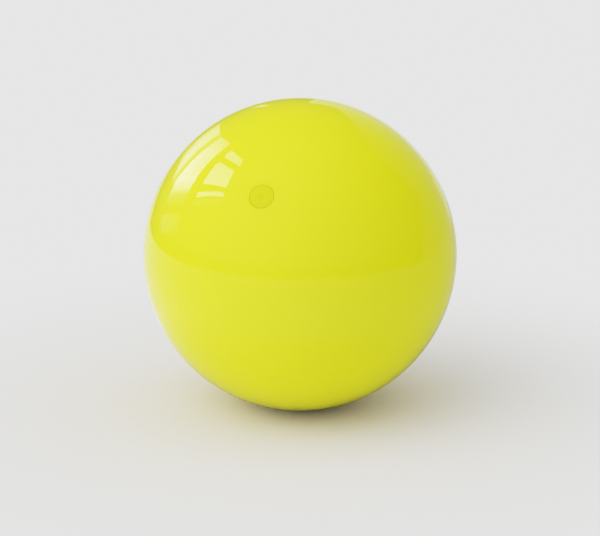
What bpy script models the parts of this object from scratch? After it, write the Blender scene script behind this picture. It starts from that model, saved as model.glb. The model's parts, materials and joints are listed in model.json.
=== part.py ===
"""Juggling ball: a soft moulded PVC shell, nearly full of grain and closed by a pressed-in plug.

Metres, +Z up. The origin is the centre of the ball. The ball rests on a small flattened patch at its
lowest point. The plug lies in the plane x = 0, on the -Y side, and its axis passes through the origin.
"""

import math

import bmesh
import bpy

MM = 0.001

# Driving dimensions
BALL_RADIUS = 33.5 * MM
WALL = 4.0 * MM
PATCH_RADIUS = 4.5 * MM  # the soft shell flattens this far out where it rests
PLUG_ELEVATION = math.radians(33.3)  # of the plug's axis, above level
HEAD_RADIUS = 2.45 * MM
HEAD_DEPTH = 1.3 * MM
STEM_RADIUS = 1.8 * MM  # just under the head
STEM_TIP_RADIUS = 1.6 * MM
EDGE = 0.15 * MM  # rounding of the plug's outer edge and of the hole's lip
PLUG_GAP = 0.2 * MM  # all round the plug
TIP_SETBACK = 0.4 * MM  # from the stem's tip to the inner wall
GRAIN_GAP = 0.5 * MM  # between the settled grain and the wall
GRAIN_LEVEL = 17.7 * MM  # height of the grain's top over the centre: nine tenths full
GRAIN_EDGE = 1.5 * MM  # rounding round the top of the grain

# Fineness of the round shapes, in facets
TURNS = 64  # round the plug's axis
GRAIN_TURNS = 40  # round the upright axis of the grain
OUTER_STEPS = 34  # from the plug's hole to the far side
INNER_STEPS = 20
EDGE_STEPS = 3

# Worked out from them
CAVITY_RADIUS = BALL_RADIUS - WALL
GRAIN_RADIUS = CAVITY_RADIUS - GRAIN_GAP
PATCH_DEPTH = math.sqrt(BALL_RADIUS**2 - PATCH_RADIUS**2)  # of the patch under the centre
SEAT_RADIUS = HEAD_RADIUS + PLUG_GAP
SHOULDER = BALL_RADIUS - HEAD_DEPTH  # distance of the head's underside from the centre
TIP = CAVITY_RADIUS + TIP_SETBACK


def clear_scene():
    for obj in list(bpy.data.objects):
        bpy.data.objects.remove(obj, do_unlink=True)


def arc(centre_r, centre_z, radius, start, end, steps):
    """Points (r, z) along an arc. Angles are measured from +Z towards +r."""
    turns = (start + (end - start) * i / steps for i in range(steps + 1))
    return [(centre_r + radius * math.sin(a), centre_z + radius * math.cos(a)) for a in turns]


def height_at(radius, sphere_radius):
    return math.sqrt(sphere_radius**2 - radius**2)


def plastic(name, colour, roughness):
    material = bpy.data.materials.new(name)
    material.diffuse_color = (*colour, 1.0)
    material.use_nodes = True
    shader = material.node_tree.nodes["Principled BSDF"]
    shader.inputs["Base Color"].default_value = (*colour, 1.0)
    shader.inputs["Roughness"].default_value = roughness
    shader.inputs["Metallic"].default_value = 0.0
    return material


def turned(name, profile, turns, material):
    """A solid turned about local Z. The profile starts and ends on the axis and runs down its outer side."""
    shape = bmesh.new()
    points = [shape.verts.new((r, 0.0, z)) for r, z in profile]
    for first, second in zip(points, points[1:]):
        shape.edges.new((first, second))
    mesh = bpy.data.meshes.new(name)
    shape.to_mesh(mesh)
    shape.free()
    mesh.materials.append(material)
    obj = bpy.data.objects.new(name, mesh)
    bpy.context.collection.objects.link(obj)
    screw = obj.modifiers.new("turn", "SCREW")
    screw.axis = "Z"
    screw.steps = turns
    screw.render_steps = turns
    screw.use_merge_vertices = True
    screw.merge_threshold = 0.01 * MM
    screw.use_smooth_shade = True
    return obj


def make_shell():
    """One-piece moulded shell: an inner and an outer sphere joined through the stepped filling hole."""
    bore_radius = STEM_RADIUS + PLUG_GAP
    bore_mouth = math.asin((STEM_TIP_RADIUS + PLUG_GAP) / CAVITY_RADIUS)
    seat_z = SHOULDER - PLUG_GAP
    lip_r = SEAT_RADIUS + EDGE
    lip_z = height_at(lip_r, BALL_RADIUS) - EDGE
    profile = arc(0.0, 0.0, CAVITY_RADIUS, math.pi, bore_mouth, INNER_STEPS)
    profile += [(bore_radius, seat_z), (SEAT_RADIUS, seat_z)]
    profile += arc(lip_r, lip_z, EDGE, -math.pi / 2, 0.0, EDGE_STEPS)
    profile += arc(0.0, 0.0, BALL_RADIUS, math.asin(lip_r / BALL_RADIUS), math.pi, OUTER_STEPS)[1:]
    return turned("shell", profile, TURNS, plastic("yellow PVC", (0.74, 0.75, 0.02), 0.12))


def make_plug():
    """Pressed-in plug: a head flush with the ball and a tapered stem that ends inside the wall."""
    edge_r = HEAD_RADIUS - EDGE
    edge_z = height_at(edge_r, BALL_RADIUS) - EDGE
    profile = arc(0.0, 0.0, BALL_RADIUS, 0.0, math.asin(edge_r / BALL_RADIUS), EDGE_STEPS)[:-1]
    profile += arc(edge_r, edge_z, EDGE, 0.0, math.pi / 2, EDGE_STEPS)
    profile += [(HEAD_RADIUS, SHOULDER), (STEM_RADIUS, SHOULDER), (STEM_TIP_RADIUS, TIP), (0.0, TIP)]
    return turned("plug", profile, TURNS, plastic("plug PVC", (0.70, 0.72, 0.02), 0.2))


def make_filling():
    """The settled grain: one ball of it, level at the top, which stands for the loose grains."""
    # The rounding of the top touches both the level and the sphere.
    corner_z = GRAIN_LEVEL - GRAIN_EDGE
    corner_r = height_at(corner_z, GRAIN_RADIUS - GRAIN_EDGE)
    side = math.atan2(corner_r, corner_z)
    profile = [(0.0, GRAIN_LEVEL)]
    profile += arc(corner_r, corner_z, GRAIN_EDGE, 0.0, side, EDGE_STEPS)
    profile += arc(0.0, 0.0, GRAIN_RADIUS, side, math.pi, INNER_STEPS)[1:]
    return turned("filling", profile, GRAIN_TURNS, plastic("grain", (0.62, 0.45, 0.22), 0.8))


def flatten_patch(shell):
    """Cuts the flat that the ball rests on, level and centred under the origin."""
    side = 3 * PATCH_RADIUS
    shape = bmesh.new()
    bmesh.ops.create_cube(shape, size=side)
    mesh = bpy.data.meshes.new("patch_cutter")
    shape.to_mesh(mesh)
    shape.free()
    cutter = bpy.data.objects.new("patch_cutter", mesh)
    bpy.context.collection.objects.link(cutter)
    cutter.location.z = -PATCH_DEPTH - side / 2
    cutter.hide_render = True
    cutter.display_type = "WIRE"
    cut = shell.modifiers.new("flat patch", "BOOLEAN")
    cut.operation = "DIFFERENCE"
    cut.solver = "EXACT"
    cut.object = cutter


clear_scene()
bpy.context.scene.unit_settings.system = "METRIC"
plug_axis = bpy.data.objects.new("plug_axis", None)
plug_axis.rotation_euler.x = math.pi / 2 - PLUG_ELEVATION
bpy.context.collection.objects.link(plug_axis)
shell = make_shell()
shell.parent = plug_axis
flatten_patch(shell)
plug = make_plug()
plug.parent = plug_axis
make_filling()
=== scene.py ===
"""Looks for the juggling ball: a glossy yellow PVC shell, its plug and the grain inside, in a soft studio.

Metres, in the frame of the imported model. Directions round the ball are given as (azimuth, elevation) in
degrees as the camera sees them: azimuth 0 is straight away from the camera, 90 to its right.
"""

import json
import math
import random

import bmesh
import bpy
from mathutils import Matrix, Vector


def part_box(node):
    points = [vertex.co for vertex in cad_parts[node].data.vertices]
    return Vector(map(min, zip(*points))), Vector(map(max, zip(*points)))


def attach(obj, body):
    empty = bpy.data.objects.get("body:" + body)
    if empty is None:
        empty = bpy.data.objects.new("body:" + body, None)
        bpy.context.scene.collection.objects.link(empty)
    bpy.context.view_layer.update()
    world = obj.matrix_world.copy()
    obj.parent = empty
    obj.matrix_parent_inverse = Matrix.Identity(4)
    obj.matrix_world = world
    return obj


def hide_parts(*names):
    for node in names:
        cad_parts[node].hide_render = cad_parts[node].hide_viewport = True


MM = 0.001

# The ball's details, in metres. Its size and the plug's axis come from the frame.
WALL = 4.0 * MM
HEAD_RADIUS = 2.42 * MM
HEAD_DEPTH = 1.3 * MM
STEM_RADIUS = 1.8 * MM
STEM_TIP_RADIUS = 1.6 * MM
PLUG_GAP = 0.045 * MM  # all round the plug
LIP = 0.07 * MM  # rounding of the hole's lip and of the plug's edge
TIP_SETBACK = 0.4 * MM
KERNEL = 1.15 * MM  # half the length of a grain kernel
THROWN = (1.0, 0.87, 0.26)  # colour of the light that the PVC throws on what is near it
FILLET = 0.04 * MM  # where the plug's stem meets its head; less than PLUG_GAP, so it clears the hole's corner
RELIEF = 0.08 * MM  # greatest depth of the relief on the plug

# The camera
CAMERA_AZIMUTH = 15.6  # degrees the camera stands to the right of the plug
CAMERA_ELEVATION = 14.0
CAMERA_DISTANCE = 10.0  # in ball radii
BALL_SHARE = 0.5225  # the ball's width as a share of the picture's
BALL_RISE = 0.0229  # how far over the picture's middle the ball sits, as a share of its width
SENSOR = 36.0  # millimetres

# The studio
TABLE_RADIUS = 0.48  # as far as the pale table shows in the ball
TABLE_OFFSET = 0.12  # from the ball to the table's middle, towards the camera
TABLE_EDGE = 1.06  # where the table has faded out, in table radii
TABLE_SIDES = (0.52, 1.75)  # painted light: its brightness in the ball, on the side away from the window and on the window's
TABLE_NEAR = (0.3, 2.2)  # painted shade: its brightness right at the ball, and where that ends, in ball radii
BACKDROP_FADE = (1.4, 4.2)  # where the table starts and ends fading into the backdrop, in ball radii
SKIRTING = (0.01, 0.08, 0.75)  # the walls' darker foot: sines of its lowest and highest elevation, brightness
AMBIENT = 0.15  # light from everywhere
SOFT_LIGHTS = (  # azimuth, elevation, tightness, strength
    (-122.0, 35.0, 5.0, 2.4),
    (92.0, 40.0, 6.0, 0.76),
    (0.0, 80.0, 6.0, 1.02),
)
ROOM_GLOW = (  # what shows in the ball, in the same terms
    (-122.0, 18.0, 2.0, 1.2),
    (150.0, 10.0, 3.0, 0.4),
    (-130.0, 80.0, 4.0, 0.55),
)
ROOM_SHADE = 0.1  # the darkest that the room gets in the ball
PAPER = (0.885, 0.885, 0.885)  # the table's own colour
BACKDROP = 1.045  # what the camera sees past the table
CARD_DISTANCE = 8.0  # of the cards that show in the ball


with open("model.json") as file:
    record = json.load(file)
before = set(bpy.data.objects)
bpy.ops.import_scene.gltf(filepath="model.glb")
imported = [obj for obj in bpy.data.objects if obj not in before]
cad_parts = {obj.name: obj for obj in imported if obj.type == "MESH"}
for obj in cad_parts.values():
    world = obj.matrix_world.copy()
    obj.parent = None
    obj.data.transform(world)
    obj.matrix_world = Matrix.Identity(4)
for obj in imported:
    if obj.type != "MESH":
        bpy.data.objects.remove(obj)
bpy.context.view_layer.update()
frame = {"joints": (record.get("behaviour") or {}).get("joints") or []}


# ---------------------------------------------------------------- geometry helpers


def arc(centre_r, centre_z, radius, start, end, steps):
    """Points (r, z) along an arc. Angles are measured from +Z towards +r."""
    turns = (start + (end - start) * i / steps for i in range(steps + 1))
    return [(centre_r + radius * math.sin(a), centre_z + radius * math.cos(a)) for a in turns]


def line(first, last, steps):
    """Points between two (r, z) points, leaving out both ends."""
    shares = (i / steps for i in range(1, steps))
    return [tuple(a + (b - a) * t for a, b in zip(first, last)) for t in shares]


def height_at(radius, sphere_radius):
    return math.sqrt(max(sphere_radius**2 - radius**2, 0.0))


def new_object(name, mesh):
    obj = bpy.data.objects.new(name, mesh)
    bpy.context.scene.collection.objects.link(obj)
    return obj


def turned(name, profile, turns):
    """A closed solid turned about local Z from a profile that starts and ends on the axis."""
    verts, rings = [], []
    for r, z in profile:
        if r < 1e-9:
            rings.append([len(verts)])
            verts.append((0.0, 0.0, z))
            continue
        rings.append(list(range(len(verts), len(verts) + turns)))
        verts += [
            (r * math.cos(a), r * math.sin(a), z)
            for a in (2 * math.pi * k / turns for k in range(turns))
        ]
    faces = []
    for upper, lower in zip(rings, rings[1:]):
        for k in range(turns):
            n = (k + 1) % turns
            if len(upper) == 1:
                faces.append((upper[0], lower[k], lower[n]))
            elif len(lower) == 1:
                faces.append((upper[k], lower[0], upper[n]))
            else:
                faces.append((upper[k], lower[k], lower[n], upper[n]))
    mesh = bpy.data.meshes.new(name)
    mesh.from_pydata(verts, [], faces)
    mesh.shade_smooth()
    return new_object(name, mesh)


def smooth_step(x, low, high):
    t = min(max((x - low) / (high - low), 0.0), 1.0)
    return t * t * (3 - 2 * t)


# ---------------------------------------------------------------- material helpers


def node(tree, kind, **inputs):
    """A new shader node. Input names use _ for a space."""
    made = tree.nodes.new(kind)
    for key, value in inputs.items():
        made.inputs[key.replace("_", " ")].default_value = value
    return made


def maths(tree, operation, first, second):
    made = tree.nodes.new("ShaderNodeMath")
    made.operation = operation
    for socket, value in zip(made.inputs, (first, second)):
        if isinstance(value, bpy.types.NodeSocket):
            tree.links.new(value, socket)
        else:
            socket.default_value = value
    return made.outputs[0]


def ramp(tree, factor, stops):
    """A colour ramp from (position, colour) stops."""
    made = tree.nodes.new("ShaderNodeValToRGB")
    elements = made.color_ramp.elements
    while len(elements) < len(stops):
        elements.new(0.5)
    for element, (position, colour) in zip(elements, stops):
        element.position = position
        element.color = (*colour, 1.0)
    tree.links.new(factor, made.inputs[0])
    return made.outputs[0]


def new_material(name):
    material = bpy.data.materials.new(name)
    material.use_nodes = True
    tree = material.node_tree
    shader = tree.nodes["Principled BSDF"]
    coords = tree.nodes.new("ShaderNodeTexCoord").outputs["Object"]
    return material, tree, shader, coords


def noise_of(tree, coords, scale, detail=3.0, roughness=0.5):
    made = node(tree, "ShaderNodeTexNoise", Scale=scale, Detail=detail, Roughness=roughness)
    tree.links.new(coords, made.inputs["Vector"])
    return made.outputs["Fac"]


def bump(tree, shader, height, distance, strength=1.0):
    made = node(tree, "ShaderNodeBump", Strength=strength, Distance=distance)
    tree.links.new(height, made.inputs["Height"])
    tree.links.new(made.outputs[0], shader.inputs["Normal"])


# ---------------------------------------------------------------- materials


def moulded_pvc(name, deep, light, gloss, ripple, shine, depth):
    """Soft PVC: light scatters in to a depth, the skin is not quite even, it throws a warm light, and shade
    is painted into its recesses.

    deep and light are the ends of its mottled colour, gloss its least roughness, shine its specular level.
    """
    material, tree, shader, coords = new_material(name)
    mottle = noise_of(tree, coords, 45.0)
    colour = ramp(tree, mottle, [(0.3, deep), (0.7, light)])
    # Painted shade: where the relief is recessed, the colour darkens to 0.9 of the deep colour.
    recess_shade = tree.nodes.new("ShaderNodeAttribute")
    recess_shade.attribute_name = "recess_shade"
    shade = tree.nodes.new("ShaderNodeMix")
    shade.data_type = "RGBA"
    tree.links.new(recess_shade.outputs["Fac"], shade.inputs[0])
    tree.links.new(colour, shade.inputs[6])
    shade.inputs[7].default_value = (*(0.9 * value for value in deep), 1.0)
    thrown = tree.nodes.new("ShaderNodeMix")
    thrown.data_type = "RGBA"
    tree.links.new(tree.nodes.new("ShaderNodeLightPath").outputs["Is Diffuse Ray"], thrown.inputs[0])
    tree.links.new(shade.outputs[2], thrown.inputs[6])
    thrown.inputs[7].default_value = (*THROWN, 1.0)
    tree.links.new(thrown.outputs[2], shader.inputs["Base Color"])
    handling = noise_of(tree, coords, 160.0, detail=5.0)
    rough = maths(tree, "MULTIPLY_ADD", handling, 0.04)
    rough.node.inputs[2].default_value = gloss
    tree.links.new(rough, shader.inputs["Roughness"])
    shader.inputs["IOR"].default_value = 1.5
    shader.inputs["Specular IOR Level"].default_value = shine
    shader.inputs["Subsurface Weight"].default_value = 0.35
    shader.inputs["Subsurface Radius"].default_value = (1.0, 0.9, 0.15)
    shader.inputs["Subsurface Scale"].default_value = depth
    peel = noise_of(tree, coords, 220.0, detail=2.0)
    bump(tree, shader, peel, ripple)
    return material


def dry_grain():
    """Husked millet: every kernel has its own shade, with a dull skin."""
    material, tree, shader, coords = new_material("dry_grain")
    island = tree.nodes.new("ShaderNodeNewGeometry").outputs["Random Per Island"]
    shades = [(0.0, (0.40, 0.22, 0.07)), (0.5, (0.68, 0.47, 0.20)), (1.0, (0.80, 0.66, 0.38))]
    tree.links.new(ramp(tree, island, shades), shader.inputs["Base Color"])
    shader.inputs["Roughness"].default_value = 0.55
    bump(tree, shader, noise_of(tree, coords, 3000.0), 0.03 * MM)
    return material


# ---------------------------------------------------------------- the ball


def turn_to(axis):
    return axis.to_track_quat("Z", "Y").to_matrix().to_4x4()


def make_shell(radius, floor_z, axis):
    """The shell's true wall, with the rounded lip of its hole and the flat that it rests on."""
    cavity = radius - WALL
    seat_r = HEAD_RADIUS + PLUG_GAP
    seat_z = radius - HEAD_DEPTH - PLUG_GAP
    lip_r = seat_r + LIP
    lip_z = height_at(lip_r, radius) - LIP
    mouth_r = STEM_TIP_RADIUS + PLUG_GAP
    bore = (STEM_RADIUS + PLUG_GAP, seat_z)
    mouth = math.asin(mouth_r / cavity)
    outside = arc(0, 0, radius, math.asin(lip_r / radius), math.pi, 220)
    lip = arc(lip_r, lip_z, LIP, 0.0, -math.pi / 2, 8)
    seat = [(seat_r, lip_z - 0.4 * MM), (seat_r, seat_z + 0.05 * MM), (seat_r, seat_z)]
    seat += line((seat_r, seat_z), bore, 3) + [bore]
    inside = arc(0, 0, cavity, mouth, math.pi, 110)
    wall = line(bore, inside[0], 6)
    profile = outside[::-1] + lip[1:] + seat + wall + inside
    shell = turned("shell_skin", profile[::-1], 256)
    shell.data.transform(turn_to(axis))
    for vertex in shell.data.vertices:
        vertex.co.z = max(vertex.co.z, floor_z)
    shell.data.update()
    return shell


def relief_depth(r):
    """How deep the plug's relief is, from 0 to 1: a shallow ring near the rim and a round dimple. It also
    sets how much painted shade the relief gets.
    """
    ring = 0.25 * math.exp(-(((r - 2.05 * MM) / (0.12 * MM)) ** 2))
    return ring + 0.7 * (1.0 - smooth_step(r, 0.2 * MM, 0.9 * MM))


def make_plug(radius, axis):
    """The plug: a head that follows the ball, its relief, and a tapered stem."""
    edge_r = HEAD_RADIUS - LIP
    edge_z = height_at(edge_r, radius) - LIP
    shoulder = radius - HEAD_DEPTH
    tip = radius - WALL + TIP_SETBACK
    top = arc(0, 0, radius, 0.0, math.asin(edge_r / radius), 56)
    edge = arc(edge_r, edge_z, LIP, 0.0, math.pi / 2, 8)[1:]
    under = [(HEAD_RADIUS, shoulder + 0.1 * MM), (HEAD_RADIUS - 0.1 * MM, shoulder)]
    stem = [(STEM_RADIUS + FILLET, shoulder), (STEM_RADIUS, shoulder - FILLET)]
    foot = [(STEM_TIP_RADIUS, tip + 0.2 * MM), (STEM_TIP_RADIUS - 0.2 * MM, tip), (0.0, tip)]
    plug = turned("plug_bung", top + edge + under + stem + line(stem[-1], foot[0], 6) + foot, 160)
    # This attribute records the relief's depth; the material paints shade into the recess from it.
    recess_shade = plug.data.attributes.new("recess_shade", "FLOAT", "POINT")
    for vertex, shade in zip(plug.data.vertices, recess_shade.data):
        r = vertex.co.xy.length
        if vertex.co.z > radius - 0.6 * MM and r < edge_r:
            shade.value = relief_depth(r)
            vertex.co.z -= RELIEF * shade.value
    plug.data.transform(turn_to(axis))
    return plug


def kernel_places(radius, level):
    """(centre, outward direction) of each kernel, on the round of the filling and on its level top."""
    golden = math.pi * (3 - math.sqrt(5))
    spacing = 2.0 * KERNEL
    deep = radius + level
    count = int(2 * math.pi * radius * deep / (0.8 * spacing**2))
    for i in range(count):
        z = -radius + deep * (i + 0.5) / count
        r = height_at(z, radius)
        out = Vector((r * math.cos(i * golden), r * math.sin(i * golden), z))
        yield out, out.normalized()
    top_r = height_at(level, radius)
    count = int(math.pi * top_r**2 / (0.8 * spacing**2))
    for i in range(count):
        r = top_r * math.sqrt((i + 0.5) / count)
        yield Vector((r * math.cos(i * golden), r * math.sin(i * golden), level)), Vector((0, 0, 1))


def make_filling(low, high):
    """Settled grain: kernels packed over a core, level at the top."""
    rng = random.Random(7)
    radius = (high.x - low.x) / 2 - KERNEL
    level = high.z - 0.8 * KERNEL
    shape = bmesh.new()
    bmesh.ops.create_uvsphere(shape, u_segments=48, v_segments=24, radius=radius - 0.1 * KERNEL)
    cut = bmesh.ops.bisect_plane(
        shape,
        geom=shape.verts[:] + shape.edges[:] + shape.faces[:],
        plane_co=(0, 0, level),
        plane_no=(0, 0, 1),
        clear_outer=True,
    )
    rim = [e for e in cut["geom_cut"] if isinstance(e, bmesh.types.BMEdge)]
    bmesh.ops.contextual_create(shape, geom=rim)
    for centre, out in kernel_places(radius, level):
        size = Vector((1.0, rng.uniform(0.8, 0.95), rng.uniform(0.7, 0.85))) * KERNEL
        lie = turn_to(out) @ Matrix.Rotation(rng.uniform(0, math.pi), 4, "Z")
        lie = Matrix.Translation(centre - out * rng.uniform(0.0, 0.3) * KERNEL) @ lie
        matrix = lie @ Matrix.Diagonal((*size, 1.0))
        bmesh.ops.create_icosphere(shape, subdivisions=1, radius=1.0, matrix=matrix)
    mesh = bpy.data.meshes.new("grain_fill")
    shape.to_mesh(mesh)
    shape.free()
    mesh.shade_smooth()
    return new_object("grain_fill", mesh)


def dress(obj, material, body, node_name):
    obj.data.materials.append(material)
    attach(obj, body)
    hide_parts(node_name)


low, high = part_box("shell")
ball_radius = (high.x - low.x) / 2
floor_z = low.z
plug_axis = Vector(next(j for j in frame["joints"] if j["name"] == "plug_pull")["axis"]).normalized()

skin = moulded_pvc(
    "yellow_pvc",
    deep=(0.92, 0.935, 0.003),
    light=(0.95, 0.96, 0.006),
    gloss=0.02,
    ripple=0.004 * MM,
    shine=0.30,
    depth=2.5 * MM,
)
bung = moulded_pvc(
    "plug_pvc",
    deep=(0.795, 0.79, 0.001),
    light=(0.82, 0.81, 0.003),
    gloss=0.12,
    ripple=0.006 * MM,
    shine=0.17,
    depth=0.5 * MM,
)
dress(make_shell(ball_radius, floor_z, plug_axis), skin, "shell", "shell")
dress(make_plug(ball_radius, plug_axis), bung, "plug", "plug")
dress(make_filling(*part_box("filling")), dry_grain(), "filling", "filling")


# ---------------------------------------------------------------- the studio

turn = math.radians(CAMERA_AZIMUTH)
AWAY = Vector((-math.sin(turn), math.cos(turn), 0.0))
RIGHT = Vector((math.cos(turn), math.sin(turn), 0.0))
UP = Vector((0.0, 0.0, 1.0))


def direction(azimuth, elevation):
    a, e = math.radians(azimuth), math.radians(elevation)
    return math.cos(e) * (math.sin(a) * RIGHT + math.cos(a) * AWAY) + math.sin(e) * UP


def card(name, corners, radiance, distance=CARD_DISTANCE, faces=None):
    """A glowing card that shows only in reflections. Corners are unit directions, each with its radiance."""
    mesh = bpy.data.meshes.new(name)
    mesh.from_pydata([c * distance for c in corners], [], faces or [tuple(range(len(corners)))])
    mesh.attributes.new("glow", "FLOAT", "POINT").data.foreach_set("value", radiance)
    obj = new_object(name, mesh)
    material = bpy.data.materials.new(name)
    material.use_nodes = True
    tree = material.node_tree
    tree.nodes.clear()
    glow = tree.nodes.new("ShaderNodeAttribute")
    glow.attribute_name = "glow"
    light = tree.nodes.new("ShaderNodeEmission")
    tree.links.new(glow.outputs["Fac"], light.inputs["Strength"])
    output = tree.nodes.new("ShaderNodeOutputMaterial")
    tree.links.new(light.outputs[0], output.inputs["Surface"])
    material.cycles.emission_sampling = "NONE"
    mesh.materials.append(material)
    obj.visible_camera = obj.visible_diffuse = obj.visible_shadow = obj.visible_transmission = False


def window_direction(x, y):
    """A direction from tangent coordinates round the window's middle, with x along its long side."""
    forward = direction(-68.0, 33.0)
    across = direction(22.0, 0.0)
    upwards = across.cross(forward)
    roll = math.radians(-36.0)
    along = across * math.cos(roll) + upwards * math.sin(roll)
    over = upwards * math.cos(roll) - across * math.sin(roll)
    return (forward + x * along + y * over).normalized()


def make_window():
    """Sashes, their dim casing and their sills."""

    def pane(name, *rows, distance=CARD_DISTANCE):
        """A card from rows of (left, right) ends, each end (x, y, radiance)."""
        ends = [end for row in rows for end in row]
        corners = [window_direction(x, y) for x, y, _ in ends]
        faces = [(i, i + 1, i + 3, i + 2) for i in range(0, len(ends) - 2, 2)]
        card(name, corners, [glow for _, _, glow in ends], distance, faces)

    pane("pane_top", ((-0.36, 0.33, 7.0), (-0.05, 0.33, 6.5)), ((-0.40, 0.25, 7.5), (-0.05, 0.24, 6.5)))
    pane("pane_main", ((-0.39, 0.18, 8.5), (-0.05, 0.18, 7.0)), ((-0.48, -0.02, 10.5), (-0.06, -0.05, 9.0)))
    pane("pane_low", ((-0.49, -0.08, 9.5), (-0.06, -0.13, 9.0)), ((-0.53, -0.13, 9.5), (-0.07, -0.18, 9.0)))
    pane("sill_near", ((-0.55, -0.16, 2.2), (-0.07, -0.21, 2.0)), ((-0.57, -0.24, 1.8), (-0.07, -0.26, 1.6)))
    pane(
        "pane_wide",
        ((0.075, 0.375, 3.4), (0.375, 0.385, 2.8)),
        ((0.08, 0.27, 5.8), (0.40, 0.27, 4.6)),
        ((0.09, 0.10, 7.0), (0.48, 0.11, 6.8)),
        ((0.095, -0.01, 9.5), (0.55, 0.01, 6.8)),
        ((0.10, -0.08, 8.0), (0.55, -0.04, 4.5)),
        ((0.10, -0.15, 2.0), (0.56, -0.11, 1.2)),
        ((0.10, -0.25, 1.1), (0.56, -0.18, 0.6)),
    )
    pane("sill_low", ((0.14, -0.32, 1.5), (0.62, -0.24, 1.3)), ((0.13, -0.51, 1.2), (0.59, -0.39, 1.0)))
    pane(
        "pane_far",
        ((0.52, 0.415, 2.6), (0.82, 0.48, 1.9)),
        ((0.54, 0.32, 3.2), (0.86, 0.34, 2.4)),
        ((0.58, 0.20, 3.4), (0.85, 0.20, 2.8)),
        ((0.65, 0.09, 2.8), (0.79, 0.10, 2.4)),
        ((0.68, 0.04, 2.0), (0.73, 0.04, 2.0)),
    )
    pane(
        "pane_edge",
        ((0.82, 0.48, 1.8), (1.16, 0.55, 0.7)),
        ((0.86, 0.34, 2.0), (1.20, 0.41, 0.9)),
        ((0.86, 0.22, 2.0), (1.14, 0.29, 0.7)),
        ((0.82, 0.12, 1.6), (0.92, 0.18, 1.2)),
    )
    casing = ((0.36, 0.40, 1.0), (0.62, 0.43, 1.0)), ((0.46, -0.09, 1.5), (0.68, 0.02, 1.2))
    pane("casing", *casing, distance=CARD_DISTANCE + 0.2)


def make_far_wall():
    """A pale board behind the ball on the right, a strip of light to its left, and the far table's edge."""
    board = (
        (2, -8, 0.60),
        (2, 22, 0.85),
        (9, 23, 0.70),
        (22, 37, 0.58),
        (38, 44, 0.42),
        (54, 45, 0.42),
        (62, 34, 0.40),
        (64, 17, 0.36),
        (77, 8, 0.32),
        (84, -8, 0.34),
        (45, -8, 0.44),
    )
    strip = ((-8.8, 12, 1.1), (-8.4, 19, 1.1), (-6.6, 19, 1.1), (-6.6, 12, 1.1))
    edge = [(a, e, 0.95) for a, e in ((-30, -8), (-30, -4), (-14, 1), (0, 5), (30, 3), (30, -8))]
    for name, corners, distance in (
        ("pale_board", board, CARD_DISTANCE),
        ("light_strip", strip, CARD_DISTANCE),
        ("table_edge", edge, CARD_DISTANCE - 1.0),
    ):
        glow = [radiance for _, _, radiance in corners]
        card(name, [direction(a, e) for a, e, _ in corners], glow, distance)


def make_table():
    """The pale table. It fades into the backdrop for the camera, and ends at its edge in reflections."""
    reach = 3.0
    mesh = bpy.data.meshes.new("table")
    corners = [(-reach, -reach), (reach, -reach), (reach, reach), (-reach, reach)]
    mesh.from_pydata([(x, y, 0.0) for x, y in corners], [], [(0, 1, 2, 3)])
    table = new_object("table", mesh)
    table.location = direction(180.0, 0.0) * TABLE_OFFSET + UP * floor_z
    material, tree, shader, coords = new_material("paper")
    shader.inputs["Roughness"].default_value = 1.0
    shader.inputs["Specular IOR Level"].default_value = 0.0
    ray = tree.nodes.new("ShaderNodeLightPath")
    from_ball = tree.nodes.new("ShaderNodeNewGeometry").outputs["Position"]

    def vector(operation, source, other=(0.0, 0.0, 0.0)):
        made = tree.nodes.new("ShaderNodeVectorMath")
        made.operation = operation
        tree.links.new(source, made.inputs[0])
        made.inputs[1].default_value = other
        return made.outputs["Value" if operation in ("LENGTH", "DOT_PRODUCT") else "Vector"]

    def fade(distance, start, end, first=0.0, last=1.0):
        made = node(tree, "ShaderNodeMapRange", From_Min=start, From_Max=end, To_Min=first, To_Max=last)
        tree.links.new(distance, made.inputs["Value"])
        return made.outputs["Result"]

    # Painted light and shade: in the ball the table's colour is brightest on the window's side, and dimmer
    # close by where the ball shades it.
    away = vector("LENGTH", from_ball)
    lit_side = vector("DOT_PRODUCT", vector("NORMALIZE", from_ball), direction(-113.0, 0.0))
    sidewards = fade(lit_side, -1.0, 1.0, *TABLE_SIDES)
    nearby = fade(away, ball_radius, TABLE_NEAR[1] * ball_radius, TABLE_NEAR[0], 1.0)
    painted_light_and_shade = tree.nodes.new("ShaderNodeMix")
    painted_light_and_shade.inputs["A"].default_value = 1.0
    tree.links.new(ray.outputs["Is Glossy Ray"], painted_light_and_shade.inputs["Factor"])
    tree.links.new(maths(tree, "MULTIPLY", sidewards, nearby), painted_light_and_shade.inputs["B"])
    paper = tree.nodes.new("ShaderNodeVectorMath")
    paper.operation = "SCALE"
    paper.inputs[0].default_value = PAPER
    tree.links.new(painted_light_and_shade.outputs["Result"], paper.inputs["Scale"])
    tree.links.new(paper.outputs["Vector"], shader.inputs["Base Color"])

    mix = tree.nodes.new("ShaderNodeMix")
    edge = fade(vector("LENGTH", coords), TABLE_RADIUS, TABLE_RADIUS * TABLE_EDGE)
    backdrop = fade(away, *(share * ball_radius for share in BACKDROP_FADE))
    backdrop.node.interpolation_type = "SMOOTHSTEP"
    tree.links.new(ray.outputs["Is Camera Ray"], mix.inputs["Factor"])
    tree.links.new(edge, mix.inputs["A"])
    tree.links.new(backdrop, mix.inputs["B"])
    clear = tree.nodes.new("ShaderNodeBsdfTransparent")
    blend = tree.nodes.new("ShaderNodeMixShader")
    tree.links.new(mix.outputs["Result"], blend.inputs["Fac"])
    tree.links.new(shader.outputs[0], blend.inputs[1])
    tree.links.new(clear.outputs[0], blend.inputs[2])
    tree.links.new(blend.outputs[0], tree.nodes["Material Output"].inputs["Surface"])
    mesh.materials.append(material)


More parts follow.
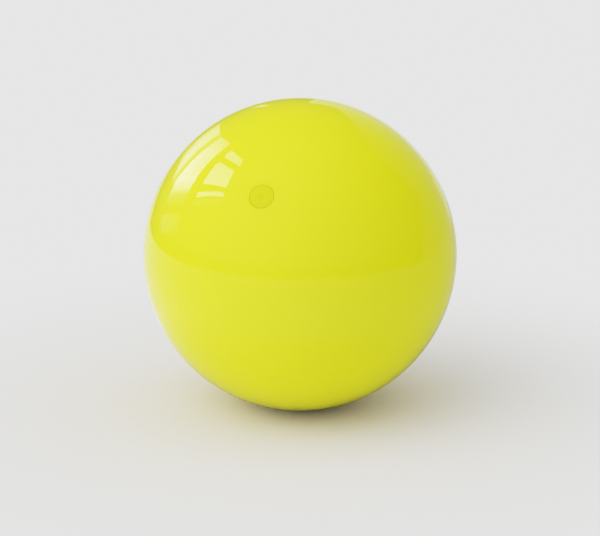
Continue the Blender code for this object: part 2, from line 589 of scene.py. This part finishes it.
def make_room():
    """Broad soft lights, the dimmer room that shows in the ball, and a plain backdrop for the camera."""
    world = bpy.data.worlds.new("room")
    bpy.context.scene.world = world
    world.use_nodes = True
    tree = world.node_tree
    tree.nodes.clear()
    sight = tree.nodes.new("ShaderNodeTexCoord").outputs["Generated"]
    ray = tree.nodes.new("ShaderNodeLightPath")

    def share(towards):
        made = tree.nodes.new("ShaderNodeVectorMath")
        made.operation = "DOT_PRODUCT"
        tree.links.new(sight, made.inputs[0])
        made.inputs[1].default_value = towards
        return made.outputs["Value"]

    def shows(seen_by, there, elsewhere):
        made = tree.nodes.new("ShaderNodeMix")
        tree.links.new(ray.outputs[seen_by], made.inputs["Factor"])
        for key, value in (("A", elsewhere), ("B", there)):
            if isinstance(value, bpy.types.NodeSocket):
                tree.links.new(value, made.inputs[key])
            else:
                made.inputs[key].default_value = value
        return made.outputs["Result"]

    def glows(lobes, total):
        for azimuth, elevation, tightness, strength in lobes:
            lean = maths(tree, "SUBTRACT", share(direction(azimuth, elevation)), 1.0)
            falloff = maths(tree, "EXPONENT", maths(tree, "MULTIPLY", lean, tightness), 0.0)
            total = maths(tree, "ADD", maths(tree, "MULTIPLY", falloff, strength), total)
        return total

    # The walls are a little darker along their foot.
    low, high, dim = SKIRTING
    skirting = node(tree, "ShaderNodeMapRange", From_Min=low, From_Max=high, To_Min=dim, To_Max=1.0)
    tree.links.new(share(UP), skirting.inputs["Value"])
    room = maths(tree, "MULTIPLY", glows(ROOM_GLOW, ROOM_SHADE), skirting.outputs["Result"])
    light = glows(SOFT_LIGHTS, AMBIENT)
    strength = shows("Is Camera Ray", BACKDROP, shows("Is Glossy Ray", room, light))
    glow = node(tree, "ShaderNodeBackground", Color=(1.0, 1.0, 1.0, 1.0))
    tree.links.new(strength, glow.inputs["Strength"])
    output = tree.nodes.new("ShaderNodeOutputWorld")
    tree.links.new(glow.outputs[0], output.inputs["Surface"])


def make_camera():
    data = bpy.data.cameras.new("camera")
    camera = bpy.data.objects.new("camera", data)
    bpy.context.scene.collection.objects.link(camera)
    bpy.context.scene.camera = camera
    # The ball's outline is the cone that touches it, so its half width in the picture is tan(asin(1/d)).
    half_width = math.tan(math.asin(1 / CAMERA_DISTANCE))
    data.sensor_width = SENSOR
    data.lens = SENSOR * BALL_SHARE / (2 * half_width)
    distance = ball_radius * CAMERA_DISTANCE
    data.clip_start = 0.01
    away_from_ball = direction(180.0, CAMERA_ELEVATION)
    camera.location = away_from_ball * distance
    upright = (UP - away_from_ball * away_from_ball.z).normalized()
    drop = BALL_RISE * SENSOR / data.lens * distance
    sight = -upright * drop - camera.location
    camera.rotation_euler = sight.to_track_quat("-Z", "Y").to_euler()


def set_tones():
    """Tones as a camera gives them: straight up to a point, then a soft shoulder towards white."""
    straight, white = 0.4, 3.0

    def tone(x):
        if x <= straight:
            return x
        return straight + (1 - straight) * (1 - math.exp(-(x - straight) / (1 - straight)))

    view = bpy.context.scene.view_settings
    view.view_transform = "Standard"
    view.look = "None"
    view.use_curve_mapping = True
    mapping = view.curve_mapping
    mapping.white_level = (white, white, white)
    points = mapping.curves[3].points
    points[0].location = (0.0, 0.0)
    points[-1].location = (1.0, tone(white))
    for x in (0.2, straight, 0.55, 0.7, 0.85, 1.0, 1.2, 1.45, 1.75, 2.2):
        points.new(x / white, tone(x))
    mapping.update()


make_window()
make_far_wall()
make_table()
make_room()
make_camera()
set_tones()

bpy.context.view_layer.update()
